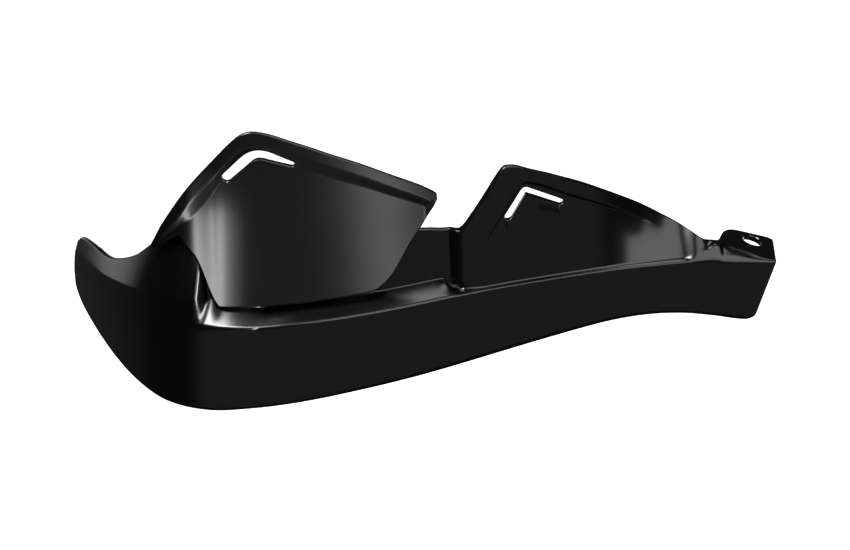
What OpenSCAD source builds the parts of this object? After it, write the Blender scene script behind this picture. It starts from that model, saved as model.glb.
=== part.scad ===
// Right-hand motorcycle hand guard: a moulded shell with a wind deflector screwed to its front.
// Millimetres. +X runs from the outer end to the inner end, +Y towards the rider, +Z up.
// The origin is the centre of the bore in the inner fixing lug.

/* [Shell plan] */
// How far the outer end lies outboard of the front corner
side_run = 77; // [72:0.5:84]
// How far the outer end wraps back behind the front corner
side_depth = 104; // [95:1:115]
// Length of the front from the corner to the inner end
front_run = 267; // [262:1:280]
// How far the inner end lies behind the corner
front_sweep = 69.5; // [62:0.5:78]
// Outward lean of the inner end over the height of the band
end_slant = 8.5; // [4:0.5:12]
// Outward splay of the inner end over the depth of the lug
end_splay = 4; // [2:0.5:5]

/* [Shell section] */
// Wall thickness of the moulding
wall = 2.8; // [2.2:0.1:3.2]
// Height of the band's upper edge at the corner
band_top = 44.7; // [42:0.1:47]
// Depth of the lower lip that turns in under the band
lip_depth = 9.5; // [8.5:0.5:12]
// Radius of the turn from the band into the lip
lip_turn = 6.5; // [5:0.5:7.5]
// Depth of the shelf between the band and the upper panel
shelf_depth = 11; // [9:0.5:13]
// Rise of the shelf from the band's edge to the upper panel
shelf_rise = 4.5; // [3:0.5:6]
// Height of the upper edge beside the deflector
notch_top = 78; // [74:1:84]
// Height of the upper edge at the outer end
tail_top = 41; // [38:0.5:44]

/* [Fin] */
// Height of the fin's peak
fin_top = 104; // [99:1:108]
// Distance of the fin's peak from the corner
fin_at = 144; // [142:0.5:146]
// Depth of the fin's panel behind its rim
fin_recess = 1.5; // [1:0.1:1.6]
// Depth of the fin's panel behind the band
fin_set = 2.2; // [2:0.1:3]
// Width of the fin's slot
fin_slot = 3.6; // [2.4:0.1:4]

/* [Lug] */
// Diameter of the fixing bore in the lug
lug_bore = 10; // [8:0.1:11]
// Depth of the lug behind the front of the band
lug_depth = 26.5; // [25.5:0.5:30]
// Distance of the bore from the front of the band
lug_bore_set = 18.6; // [17:0.1:19]
// Downward slope of the lug towards the inner end, in degrees
lug_slope = 14.8; // [10:0.2:17]
// Height of the lug at its bore
lug_height = 45.7; // [44.5:0.1:47]

/* [Deflector] */
// Thickness of the deflector plate
plate = 2.5; // [2:0.1:3]
// Depth of the deflector's lower edge behind the front of the band
deflector_set = 5; // [4:0.25:5.25]
// Backward lean of the deflector, per millimetre of height
deflector_lean = 0.14; // [0.13:0.005:0.17]
// Clearance between the deflector's lower edge and the shelf
deflector_gap = 3.3; // [2.5:0.1:5.5]
// Height of the deflector from its lower edge to its peak
deflector_height = 82; // [78:0.5:91]
// Distance of the wing's tip outboard of the corner
wing_reach = 27.6; // [26:0.2:29]
// How far the wing stands forward of the deflector's main curve
wing_flare = 3; // [3:0.25:4.5]
// Depth of the deflector's panel behind its rim
rim_step = 1.6; // [0.8:0.1:2]
// Width of the deflector's slot
deflector_slot = 3.4; // [2.4:0.1:4.4]

/* [Fixings] */
// Thread diameter of the deflector screws
screw_d = 4.8; // [4:0.1:5]
// Length of the deflector screws under the head
screw_length = 10; // [9:0.5:13]
// Head diameter of the deflector screws
screw_head_d = 9; // [8:0.5:10]
// Height of the screw heads
screw_head_h = 3; // [2:0.1:4]
// Wall of the posts that the screws run into
post_wall = 1.8; // [1.5:0.1:2.2]
// Clearance round a post in the shell and round a screw in its washer
fit_gap = 0.3; // [0.2:0.05:0.5]
// Diameter of the washers
washer_d = 13; // [12:0.5:14]
// Thickness of the washers
washer_h = 1; // [0.8:0.1:1.5]
// Tapped bore of the inserts
insert_bore = 5; // [4:0.5:6]
// Outer diameter of the inserts
insert_d = 8.6; // [8:0.1:9.4]
// Length of the inserts
insert_length = 10; // [8:0.5:12]
// Plastic left round an insert
boss_wall = 2.6; // [2:0.1:3.2]

/* [Hidden] */

black_gloss = [0.07, 0.07, 0.07];
black_satin = [0.16, 0.16, 0.16];
zinc = [0.72, 0.73, 0.75];
brass = [0.80, 0.66, 0.32];
fine = 48;

// Plan curve of the band: shares of the side and of the front that its control points reach
side_shape = [[1, 1], [0.85, 0.73], [0.655, 0.447], [0.454, 0.207], [0.208, 0.037]];
front_shape = [
    [0.03, -0.017], [0.135, 0.007], [0.255, 0.122], [0.375, 0.288], [0.487, 0.482], [0.6, 0.676],
    [0.712, 0.852], [0.824, 0.954], [0.918, 0.983], [1, 1]
];
plan = concat(
    [for (p = side_shape) [-p[0] * side_run, p[1] * side_depth]],
    [for (p = front_shape) [p[0] * front_run, p[1] * front_sweep]]
);
spans = len(plan) - 1;
// Sections in each span of the plan, more of them where the form turns fast
span_steps = [6, 8, 8, 8, 14, 7, 6, 6, 12, 12, 8, 8, 8, 10];

// Lines that run along the shell, as distance from the corner and value
lug_width = 20;
lug_from = front_run - lug_width;
bottom_line = [
    [-side_run, 10], [-side_run + 2, 6], [-side_run + 6, 4.4], [-64, 3.4], [-51, 1.6], [-37, 0.2],
    [-20, -1.5], [0, -1.7], [20, -0.3], [44, 1.4], [72, 3.6], [100, 5.5], [129, 7.8], [158, 10.3],
    [178, 12.1], [198, 14], [214, 14.6], [229, 14], [lug_from, 11.6], [front_run - 8, 9.4],
    [front_run - 3, 9], [front_run, 11]
];
edge_line = [
    [-side_run, -24], [-60, -15], [-45, -8], [-30, -3.5], [-15, -0.8], [0, 0], [22, -0.5], [45, 0.5],
    [88, 1.3], [117, 1.8], [142, 1], [167, -0.2], [190, -1], [212, -1.2], [236, -0.7],
    [front_run - 7, -1.2], [front_run, -1.4]
];
top_line = [
    [-side_run, tail_top - 6], [-side_run + 2, tail_top - 1.1], [-side_run + 5, tail_top + 1.4],
    [-66, tail_top + 5], [-60, tail_top + 7.5], [-54, 51.6], [-48, 56.4], [-40, 64.2], [-31.5, 75],
    [-20, 84], [0, 92], [20, 94], [40, 91], [70, notch_top + 4], [100, notch_top - 0.3],
    [110, notch_top - 1.8], [118, notch_top - 3.3], [122.2, notch_top - 3.5], [123.6, notch_top - 2.3],
    [127, notch_top + 3.6], [134, fin_top - 12.4], [fin_at - 2.7, fin_top - 1.9], [fin_at - 0.8, fin_top],
    [fin_at + 2, fin_top - 0.1], [fin_at + 5, fin_top - 0.9], [155, 100.3], [165, 95.9], [178, 89.6],
    [190, 82.6], [203, 74.3], [215, 66.2], [222.5, 61.2], [229, 57.6], [236, 54.1], [241, 51.2],
    [lug_from, 49.4]
];
// Depth of the rim and of the upper panel behind the band, where they start
knee_line = [
    [-side_run, 1], [-50, 1.3], [-12, 1.3], [-3.6, 1.6], [-2.6, 2.6], [-0.6, shelf_depth - 1.2],
    [0.6, shelf_depth - 0.2], [2, shelf_depth], [108, shelf_depth], [118.5, shelf_depth - 0.7],
    [121, 6.5], [124, fin_set + 1.9], [128, fin_set + 0.5], [fin_at - 0.5, fin_set - 0.9],
    [fin_at + 8.5, fin_set - fin_recess], [194, fin_set - fin_recess], [220, fin_set], [front_run, fin_set]
];
rise_line = [
    [-side_run, 8], [-50, 11], [-25, 13], [-4, 13], [0, shelf_rise + 5.5], [4, shelf_rise + 4.8],
    [8, shelf_rise + 3.1], [14, shelf_rise + 2.5], [20, shelf_rise + 1.7], [27, shelf_rise + 0.3],
    [33, shelf_rise], [115.5, shelf_rise], [119.2, 0.2], [150, 0.4], [228, 0.4], [236, 3]
];
lean_line = [
    [-side_run, 0.3], [-50, 0.42], [-40, 0.43], [-30, 0.41], [-20, 0.385], [-14, 0.39], [-11, 0.41],
    [-8, 0.46], [-5, 0.54], [-2.6, 0.59], [-0.8, 0.27], [1.2, 0.14], [10, 0.125], [60, 0.1],
    [170, 0.12], [187, 0.2], [200, 0.36], [214, 0.66], [228, 0.95], [236, 0.9]
];
edge_cut_line = [[-side_run, 7], [-30, 7], [-8, 3], [5, 1.4], [215, 1.4], [lug_from, 3], [front_run, 3.5]];
panel_line = [
    [119.5, 44], [121.5, 50], [124, 57.2], [131.3, 67], [140.3, 79.3], [fin_at + 6.2, fin_top - 10.8],
    [fin_at + 8, fin_top - 9.4], [fin_at + 10.5, fin_top - 10.1], [172.5, 84.6], [194.5, 72.6],
    [209, 63.6], [219, 57.4], [230, 52.5]
];
lug_line = [
    [lug_from - 3, 9], [lug_from, 9.5], [lug_from + 6, lug_depth - 2.5], [lug_from + 8.5, lug_depth],
    [front_run - 4, lug_depth], [front_run - 1.5, lug_depth - 0.9], [front_run, lug_depth - 3]
];

// Lines that run along the deflector
deflector_base = band_top + shelf_rise + deflector_gap;
deflector_top = deflector_base + deflector_height;
deflector_end = 112.5;
// Distance outboard of the corner at which the wing stands fully forward
wing_root = 14;
deflector_upper = [
    [-wing_reach, deflector_top - 56.4], [-22.8, deflector_top - 45.9], [-14, deflector_top - 32.5],
    [-5.7, deflector_top - 23], [4.4, deflector_top - 14.1], [15.4, deflector_top - 4.7],
    [19.7, deflector_top - 1.8], [23.3, deflector_top - 0.4], [25.9, deflector_top],
    [28.9, deflector_top - 0.2], [49.9, deflector_top - 7.1], [63.7, deflector_top - 13.1],
    [78, deflector_top - 19.6], [93.3, deflector_top - 27.6], [105, deflector_top - 33.9],
    [109, deflector_top - 36.5], [deflector_end - 1.5, deflector_top - 37.9],
    [deflector_end, deflector_top - 39.3]
];
deflector_lower = [
    [-wing_reach, deflector_top - 57.6], [-12.6, deflector_top - 48.1], [-11.7, deflector_top - 49],
    [-11, deflector_top - 50.2], [-3.9, deflector_base + 23.8], [5.6, deflector_base + 2],
    [7.3, deflector_base], [36, deflector_base + 0.4], [78, deflector_base + 1.1],
    [81.5, deflector_base + 1.6], [83.5, deflector_base + 2.6], [88.4, deflector_base + 6.4],
    [100.4, deflector_base + 23.5], [105.3, deflector_top - 52.6], [109.6, deflector_top - 45.9],
    [deflector_end - 0.7, deflector_top - 42.1], [deflector_end, deflector_top - 40.7]
];
rim_width_line = [
    [-wing_reach, 4], [-11, 8.3], [4, 7.5], [12, 7], [26, 6.1], [42, 5.6], [63, 5.3], [deflector_end, 5.3]
];
rim_slope_line = [
    [-wing_reach, 3], [-11, 7], [2, 8], [8, 6], [14, 4.5], [26, 2.9], [36, 3.2], [46, 5], [63, 5],
    [85, 4.4], [deflector_end, 3.5]
];

// Deflector screws: distance from the corner and height
screw_at = [
    [6, deflector_base + 18.5], [34, deflector_base + 23.5], [62, deflector_base + 19.5], [88, deflector_base + 14.5]
];
pad_d = washer_d + 1.5;
post_d = screw_d + 2 * post_wall;
// Depth in the shell's wall at which a pad starts, and plastic left in front of a screw
pad_root = 0.75 * wall;
skin_over_screw = 1.2;
// Zeros leave a body at its own size
own_size = [0, 0, 0];

// Inserts: distance from the corner and height
insert_at = [[-46, 21], [112, 26], [222, 29]];
insert_names = ["insert_outer", "insert_middle", "insert_inner"];
boss_d = insert_d + 2 * boss_wall;
// Plastic behind an insert, and how far its boss reaches into the shell's wall
boss_floor = 1;
boss_root = 1.2;

// Uniform cubic B-spline through the plan's control points; each point is [x, y, dx, dy]
function control(i) =
    i < 0 ? 2 * plan[0] - plan[1] :
    i > spans ? 2 * plan[spans] - plan[spans - 1] : plan[i];
function plan_point(i, f) =
    let (a = control(i - 1), b = control(i), c = control(i + 1), d = control(i + 2))
    let (p = (pow(1 - f, 3) * a + (3 * pow(f, 3) - 6 * f * f + 4) * b
        + (-3 * pow(f, 3) + 3 * f * f + 3 * f + 1) * c + pow(f, 3) * d) / 6)
    let (v = (-pow(1 - f, 2) * a + (3 * f * f - 4 * f) * b
        + (-3 * f * f + 2 * f + 1) * c + f * f * d) / 2)
    [p[0], p[1], v[0], v[1]];
plan_points = [
    for (i = [0 : spans - 1], k = [0 : span_steps[i] - 1]) plan_point(i, k / span_steps[i]),
    plan_point(spans - 1, 1)
];
x_to_y = [for (p = plan_points) [p[0], p[1]]];
x_to_angle = [for (p = plan_points) [p[0], atan2(p[3], p[2])]];

// A point of the plan at distance x from the corner, moved inwards by depth
function inward(x) = let (a = lookup(x, x_to_angle)) [-sin(a), cos(a)];
function on_plan(x, depth) = [x, lookup(x, x_to_y)] + depth * inward(x);

// Value of a line with its corners softened over a width
function soft(x, line, width) =
    (lookup(x - width, line) + lookup(x - width / 2, line) + 2 * lookup(x, line)
        + lookup(x + width / 2, line) + lookup(x + width, line)) / 6;
function blend(f, a, b) = a + (b - a) * f;
function ramp(x, from, to) = let (f = max(0, min(1, (x - from) / (to - from)))) f * f * (3 - 2 * f);

// Open paths in a section, as [depth, height]
function unit(v) = v / norm(v);
function right_of(v) = [v[1], -v[0]];
function moved_in(path, thickness) = [
    for (i = [0 : len(path) - 1])
        let (n1 = right_of(unit(path[max(i, 1)] - path[max(i, 1) - 1])))
        let (j = min(i, len(path) - 2))
        let (n2 = right_of(unit(path[j + 1] - path[j])))
        path[i] + thickness * (n1 + n2) / max(0.4, 1 + n1 * n2)
];
function rounded(path, cuts, counts) = [
    path[0],
    for (i = [1 : len(path) - 2])
        let (back = path[i - 1] - path[i], on = path[i + 1] - path[i])
        let (cut = min(cuts[i - 1], 0.46 * norm(back), 0.46 * norm(on)))
        let (a = path[i] + cut * unit(back), b = path[i] + cut * unit(on))
        for (k = [0 : counts[i - 1]])
            let (f = k / counts[i - 1])
            (1 - f) * (1 - f) * a + 2 * f * (1 - f) * path[i] + f * f * b,
    path[len(path) - 1]
];
// Two points that round an edge between the end of the outer path and the start of the inner one
function edge_round(from, to) =
    let (middle = (from + to) / 2, out = right_of(to - from))
    [for (s = [-0.5, 0.5]) middle + s * (to - from) * 0.72 - out * 0.36];

lug_bore_x = front_run - 3;
// Height of the band's lower corner at the inner end, and of the band above it
end_foot = 12;
band_height = 32;
// Length over which the inner end takes up its lean and splay
end_run = 18;

// Place of a section point: the inner end leans out with height
function shell_place(x, p) =
    let (q = on_plan(x, p[0]))
    let (shift = end_slant * (p[1] - end_foot) / band_height + end_splay * p[0] / lug_depth)
    [q[0] + shift * ramp(x, front_run - end_run, front_run), q[1], p[1]];

// Outer control path of the shell's section at x
function shell_path(x) =
    let (low = soft(x, bottom_line, 1), edge = band_top + soft(x, edge_line, 6))
    let (top = soft(x, top_line, 1), lean = soft(x, lean_line, 1.5))
    let (knee_z = min(edge + soft(x, rise_line, 1.2), top - 5), knee = soft(x, knee_line, 0.8))
    let (floor_in = blend(ramp(x, 117.5, 120.5), knee, max(knee, fin_set)))
    let (split = min(max(soft(x, panel_line, 1), knee_z + 1.2), top - 2.6))
    let (a_in = floor_in + lean * (split - knee_z))
    let (b_in = knee + lean * (split + 1 - knee_z), top_in = knee + lean * (top - knee_z))
    let (in_lug = ramp(x, lug_from - 10, lug_from - 1), reach = lookup(x, lug_line))
    let (start = min(blend(ramp(x, lug_from, front_run), 6.5, 4), reach / 2))
    let (lug_path = [for (f = [0, 0.6, 0.8, 1]) let (d = blend(f, start, reach)) [d, lug_surface(x, d)]])
    let (sheet_path = [[floor_in, knee_z], [a_in, split], [b_in, split + 1], [top_in, top]])
    concat(
        [[lip_depth, low + 0.6], [0, low], [0, edge]],
        [for (i = [0 : 3]) blend(in_lug, sheet_path[i], lug_path[i])]
    );
// Height of the lug's upper face at a depth, after the end's lean has moved the point
function lug_surface(x, depth) =
    let (here = ramp(x, front_run - end_run, front_run), share = end_slant * here / band_height)
    let (flat_x = on_plan(x, depth)[0] + end_splay * here * depth / lug_depth - end_foot * share)
    (lug_height - tan(lug_slope) * (flat_x - lug_bore_x)) / (1 + tan(lug_slope) * share);

// Outer path from which the inner face is moved in: the deepest within reach, so that steps keep their wall
function shell_back(x) =
    let (reach = 0.75 * wall * (1 - ramp(x, 195, 215)), path = shell_path(x))
    let (before = shell_path(x - reach), after = shell_path(x + reach))
    [for (i = [0 : 6]) i < 3 ? path[i] : [max(path[i][0], before[i][0], after[i][0]), path[i][1]]];

outer_counts = [4, 3, 4, 1, 1];
inner_counts = [2, 1, 2, 1, 1];
function shell_section(x) =
    let (path = shell_path(x), edge_cut = soft(x, edge_cut_line, 5))
    let (outer = rounded(path, [lip_turn, edge_cut, 4.5, 0.7, 0.7], outer_counts))
    let (inner = rounded(moved_in(shell_back(x), wall), [lip_turn - wall, 1, 6, 0.5, 0.5], inner_counts))
    let (back = [for (i = [len(inner) - 1 : -1 : 0]) inner[i]])
    [for (p = concat(outer, edge_round(outer[len(outer) - 1], back[0]), back)) shell_place(x, p)];

// Closed skin over a row of closed sections
module skin(sections) {
    around = len(sections[0]);
    last = len(sections) - 1;
    polyhedron(
        points = [for (s = sections, p = s) p],
        faces = [
            [for (k = [around - 1 : -1 : 0]) k],
            for (i = [0 : last - 1], k = [0 : around - 1])
                let (a = i * around + k, b = i * around + (k + 1) % around)
                each [[a, b, b + around], [a, b + around, a + around]],
            [for (k = [0 : around - 1]) last * around + k]
        ]
    );
}

// Puts children at the plan's point x and height z; their +Z axis then points inwards
module facing_in(x, z, depth) {
    p = on_plan(x, depth);
    translate([p[0], p[1], z])
        rotate([0, 0, lookup(x, x_to_angle)])
            rotate([-90, 0, 0])
                children();
}

// Points round the end of a slot's leg, from its left side to its right one
function slot_cap(centre, radius, heading) =
    let (turn = atan2(heading[1], heading[0]))
    [for (k = [1 : 7]) let (t = turn + 90 - 22.5 * k) centre + radius * [cos(t), sin(t)]];

// Outline of a slot of two legs, from its points in the front view, its widths there, and the lengths
// by which its bend is rounded on the outer and on the inner side
function slot_outline(points, widths, bends) =
    let (a = points[0], b = points[1], c = points[2], first = unit(b - a), second = unit(c - b))
    let (n1 = -right_of(first), n2 = -right_of(second))
    let (start = widths[0] / 2 * n1, mitre = widths[1] / 2 * (n1 + n2) / (1 + n1 * n2), end = widths[2] / 2 * n2)
    concat(
        rounded([a + start, b + mitre, c + end], [bends[0]], [5]), slot_cap(c, widths[2] / 2, second),
        rounded([c - end, b - mitre, a - start], [bends[1]], [3]), slot_cap(a, widths[0] / 2, -first)
    );

// A slot cut through along Y
module bent_slot(outline, from_y, to_y) {
    translate([0, to_y, 0])
        rotate([90, 0, 0])
            linear_extrude(to_y - from_y)
                polygon(outline);
}
fin_slot_outline = slot_outline(
    [[fin_at - 2.3, fin_top - 24.6], [fin_at + 5.3, fin_top - 13.1], [fin_at + 22.8, fin_top - 22.5]],
    fin_slot * [1, 0.88, 0.78], [2.6, 0.4]
);
deflector_slot_outline = slot_outline(
    [[13.2, deflector_top - 20.4], [26.4, deflector_top - 8.8], [42.4, deflector_top - 15.6]],
    deflector_slot * [1.26, 1.5, 0.7], [9, 3]
);

// Depths at which the deflector's pieces meet the shell
function shell_depth(x, z) =
    let (path = shell_path(x))
    blend((z - path[3][1]) / (path[6][1] - path[3][1]), path[3][0], path[6][0]);
function deflector_depth(x, z) =
    deflector_set + deflector_lean * (z - deflector_base) - wing_flare * ramp(-x, -6, wing_root);
function post_depth(s) = deflector_depth(s[0], s[1]) + rim_step + skin_over_screw;
function pad_depth(s) = shell_depth(s[0], s[1]) + pad_root;
function washer_depth(s) = post_depth(s) + screw_length - washer_h;

module shell_moulding() {
    skin([for (p = plan_points) shell_section(p[0])]);
    for (s = screw_at)
        facing_in(s[0], s[1], pad_depth(s))
            cylinder(h = washer_depth(s) - pad_depth(s), d = pad_d, $fn = fine);
    for (b = insert_at)
        facing_in(b[0], b[1], wall - boss_root)
            cylinder(h = boss_root + boss_floor + insert_length, d = boss_d, $fn = fine);
}

module lug_bore_cut() {
    translate(lug_centre)
        rotate([0, lug_slope, 0])
            cylinder(h = 4 * wall, d = lug_bore, center = true, $fn = fine);
}

module shell() {
    color(black_gloss)
        difference() {
            resize(own_size)
                shell_moulding();
            lug_bore_cut();
            bent_slot(fin_slot_outline, front_sweep / 2, front_sweep + shelf_depth);
            for (s = screw_at)
                facing_in(s[0], s[1], post_depth(s))
                    cylinder(h = screw_length + 1, d = post_d + 2 * fit_gap, $fn = fine);
            for (b = insert_at)
                facing_in(b[0], b[1], wall + boss_floor)
                    cylinder(h = insert_length + 1, d = insert_d, $fn = fine);
        }
}

// Deflector section at x: rim, slope, panel
function deflector_path(x) =
    let (high = soft(x, deflector_upper, 0.8), low = min(soft(x, deflector_lower, 0.8), high - 1.8))
    let (room = high - low)
    let (rim = min(soft(x, rim_width_line, 2), 0.55 * room), slope = min(soft(x, rim_slope_line, 2), 0.25 * room))
    let (step = rim_step * ramp(room, 3, 16))
    [for (h = [[low, step], [high - rim - slope, step], [high - rim, 0], [high, 0]])
        [deflector_depth(x, h[0]) + h[1], h[0]]];
function deflector_section(x) =
    let (path = deflector_path(x), outer = rounded(path, [1, 1], [2, 2]))
    let (inner = rounded(moved_in(path, plate), [1, 1], [1, 1]))
    let (back = [for (i = [len(inner) - 1 : -1 : 0]) inner[i]])
    [for (p = concat(outer, edge_round(outer[len(outer) - 1], back[0]), back,
        edge_round(back[len(back) - 1], outer[0])))
        let (q = on_plan(x, p[0])) [q[0], q[1], p[1]]];
// Where the deflector's stations change their spacing, and how many follow each place
deflector_marks = [[-wing_reach, 8], [-13, 12], [8, 13], [44, 10], [82, 10], [deflector_end, 1]];
deflector_stations = [
    for (m = [0 : len(deflector_marks) - 1])
        let (mark = deflector_marks[m], next = deflector_marks[min(m + 1, len(deflector_marks) - 1)])
        for (i = [0 : mark[1] - 1]) blend(i / mark[1], mark[0], next[0])
];

module deflector() {
    color(black_satin)
        difference() {
            union() {
                skin([for (x = deflector_stations) deflector_section(x)]);
                for (s = screw_at)
                    facing_in(s[0], s[1], post_depth(s))
                        cylinder(h = screw_length - washer_h - fit_gap, d = post_d, $fn = fine);
            }
            bent_slot(deflector_slot_outline, 0, front_sweep);
            for (s = screw_at)
                facing_in(s[0], s[1], post_depth(s))
                    cylinder(h = screw_length, d = screw_d, $fn = fine);
        }
}

module deflector_screw(i) {
    s = screw_at[i];
    color(zinc)
        facing_in(s[0], s[1], washer_depth(s) + washer_h)
            difference() {
                union() {
                    translate([0, 0, -screw_length])
                        cylinder(h = screw_length, d = screw_d, $fn = fine);
                    cylinder(h = screw_head_h, d = screw_head_d, $fn = fine);
                }
                translate([0, 0, screw_head_h / 2])
                    cylinder(h = screw_head_h, d = screw_head_d / 2, $fn = 6);
            }
}

module deflector_washer(i) {
    s = screw_at[i];
    color(zinc)
        facing_in(s[0], s[1], washer_depth(s))
            difference() {
                cylinder(h = washer_h, d = washer_d, $fn = fine);
                translate([0, 0, -1])
                    cylinder(h = washer_h + 2, d = screw_d + 2 * fit_gap, $fn = fine);
            }
}

module insert(i) {
    b = insert_at[i];
    color(brass)
        facing_in(b[0], b[1], wall + boss_floor)
            difference() {
                cylinder(h = insert_length, d = insert_d, $fn = fine);
                translate([0, 0, 1])
                    cylinder(h = insert_length, d = insert_bore, $fn = fine);
            }
}

// Centre of the lug's bore, on its upper face
lug_station = front_run - 7.6;
lug_centre = shell_place(lug_station, [lug_bore_set, lug_surface(lug_station, lug_bore_set)]);

// Everything is placed from the centre of the lug's bore
module from_bore() {
    translate(-lug_centre)
        children();
}

from_bore() shell();
from_bore() deflector();
for (i = [0 : 3]) {
    from_bore() deflector_screw(i);
    from_bore() deflector_washer(i);
}
for (i = [0 : 2])
    from_bore() insert(i);
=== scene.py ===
"""Dressed model of a right-hand motorcycle hand guard, built on its packed construction."""
import math

import bmesh
import bpy
import numpy as np
from mathutils import Matrix, Vector


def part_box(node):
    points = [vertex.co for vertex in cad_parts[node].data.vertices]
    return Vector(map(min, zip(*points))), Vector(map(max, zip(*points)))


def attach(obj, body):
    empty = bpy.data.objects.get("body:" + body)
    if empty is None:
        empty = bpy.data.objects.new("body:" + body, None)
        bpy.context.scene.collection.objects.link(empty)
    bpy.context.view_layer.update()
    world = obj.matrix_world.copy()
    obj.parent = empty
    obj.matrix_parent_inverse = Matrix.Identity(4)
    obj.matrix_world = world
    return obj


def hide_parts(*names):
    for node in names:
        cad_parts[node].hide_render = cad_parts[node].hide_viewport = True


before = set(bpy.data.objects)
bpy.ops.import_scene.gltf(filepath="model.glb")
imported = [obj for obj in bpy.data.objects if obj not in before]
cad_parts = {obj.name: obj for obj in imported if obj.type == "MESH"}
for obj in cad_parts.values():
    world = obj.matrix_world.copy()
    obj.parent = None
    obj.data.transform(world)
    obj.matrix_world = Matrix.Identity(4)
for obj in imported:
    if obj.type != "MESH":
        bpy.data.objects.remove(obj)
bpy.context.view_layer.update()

bl_info = {
    "name": "Motorcycle hand guard",
    "version": (1, 0, 0),
    "blender": (4, 5, 0),
    "location": "View3D > Sidebar > Hand guard",
    "description": "Moulded hand guard shell with a screwed-on wind deflector, and its studio",
    "category": "Object",
}

# One millimetre in scene units; the form lines below are in millimetres
MM = 0.001

# Plan of the band: the outer end wraps back behind the corner, the front sweeps back to the inner end
SIDE_RUN = 77
SIDE_DEPTH = 104
FRONT_RUN = 267
FRONT_SWEEP = 69.5
SIDE_SHAPE = ((1, 1), (0.85, 0.73), (0.655, 0.447), (0.454, 0.207), (0.208, 0.037))
FRONT_SHAPE = (
    (0.03, -0.017), (0.135, 0.007), (0.255, 0.122), (0.375, 0.288), (0.487, 0.482), (0.6, 0.676),
    (0.712, 0.852), (0.824, 0.954), (0.918, 0.983), (1, 1),
)
STEPS_PER_SPAN = 40

# Heights and depths that the form lines share
BAND_TOP = 44.7
SHELF_DEPTH = 11
SHELF_RISE = 4.5
NOTCH_TOP = 78
TAIL_TOP = 41
FIN_TOP = 104
FIN_AT = 144
FIN_SET = 2.2
FIN_RECESS = 1.5
LIP_DEPTH = 9.5
LIP_TURN = 6.5
PANEL_OUT = FIN_SET - FIN_RECESS

# The fixing lug at the inner end
LUG_DEPTH = 26.5
LUG_BORE_SET = 18.6
LUG_SLOPE = math.radians(14.8)
LUG_HEIGHT = 45.7
LUG_FROM = FRONT_RUN - 20
LUG_BORE_X = FRONT_RUN - 3
LUG_STATION = FRONT_RUN - 7.6
END_SLANT = 8.5
END_SPLAY = 4
END_RUN = 18
END_FOOT = 12
BAND_HEIGHT = 32

# The deflector
DEFLECTOR_SET = 5
DEFLECTOR_LEAN = 0.14
DEFLECTOR_BASE = 52.5
DEFLECTOR_TOP = 134.5
DEFLECTOR_END = 112.5
WING_REACH = 27.6
WING_FLARE = 3
WING_ROOT = 14
RIM_STEP = 1.6

# Screws and inserts, by their distance from the corner
SCREW_X = (6, 34, 62, 88)
INSERT_X = {"insert_outer": -46, "insert_middle": 112, "insert_inner": 222}

# Slots in the front view, as distance from the corner and height, with the shares of the slot's width
# that their two legs have at the start, the bend and the end, and the lengths by which the bend is
# rounded on its outer and on its inner side
FIN_SLOT = ((141.7, 79.4), (149.3, 90.9), (166.8, 81.5))
FIN_SLOT_SHAPE = ((1, 0.88, 0.78), 2.6, 0.4)
DEFLECTOR_SLOT = ((13.2, 114.1), (26.4, 125.7), (42.4, 118.9))
DEFLECTOR_SLOT_SHAPE = ((1.26, 1.5, 0.7), 9, 3)

# Spacing of the sections along the shell, with the stretches where its form turns fast, and along the
# deflector; then the spacing of the places where lines are kept
SHELL_SPACING = 1.15
SHELL_FINE = ((-6, 3, 0.35), (115, 132, 0.5), (243, 258, 0.5))
DEFLECTOR_SPACING = 0.6
LINE_SPACING = 0.25
LINE_GRID = np.arange(-95.0, 290.0, LINE_SPACING)

# Radii that round the free ends of the shell and of the deflector, the share of a wall by which edges
# are crowned, and how many points are walked along a form to space its sections
END_ROUND = 1.0
DEFLECTOR_END_ROUND = 0.35
CROWN = 0.36
WALK_POINTS = 3000

# Least heights of the shell's sheet above its knee, of the panel in it, of the strip over the panel and
# of the deflector, and the height over which the panel steps out to its strip
SHEET_LEAST = 5
PANEL_LEAST = 1.2
STRIP_LEAST = 2.6
DEFLECTOR_LEAST = 1.8
PANEL_STEP = 1

# Lengths by which the corners of the shell's and the deflector's sections are rounded, outside and
# inside, and the steps of each rounding
KNEE_TURN = 4.5
KNEE_INNER_TURN = 6
EDGE_INNER_TURN = 1
STEP_TURN = 0.7
STEP_INNER_TURN = 0.5
SHELL_TURN_STEPS = (8, 7, 9, 4, 4)
RIM_TURNS = (0.8, 1.1)
RIM_INNER_TURNS = (1.2, 1.4)
RIM_TURN_STEPS = (5, 5)


def unit(v):
    return v / np.linalg.norm(v)


def right_of(v):
    return np.array((v[1], -v[0]))


def ramp(x, start, end):
    """Smooth step from 0 to 1 between two distances."""
    f = min(1.0, max(0.0, (x - start) / (end - start)))
    return f * f * (3 - 2 * f)


def blend(f, a, b):
    return a + (b - a) * f


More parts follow.
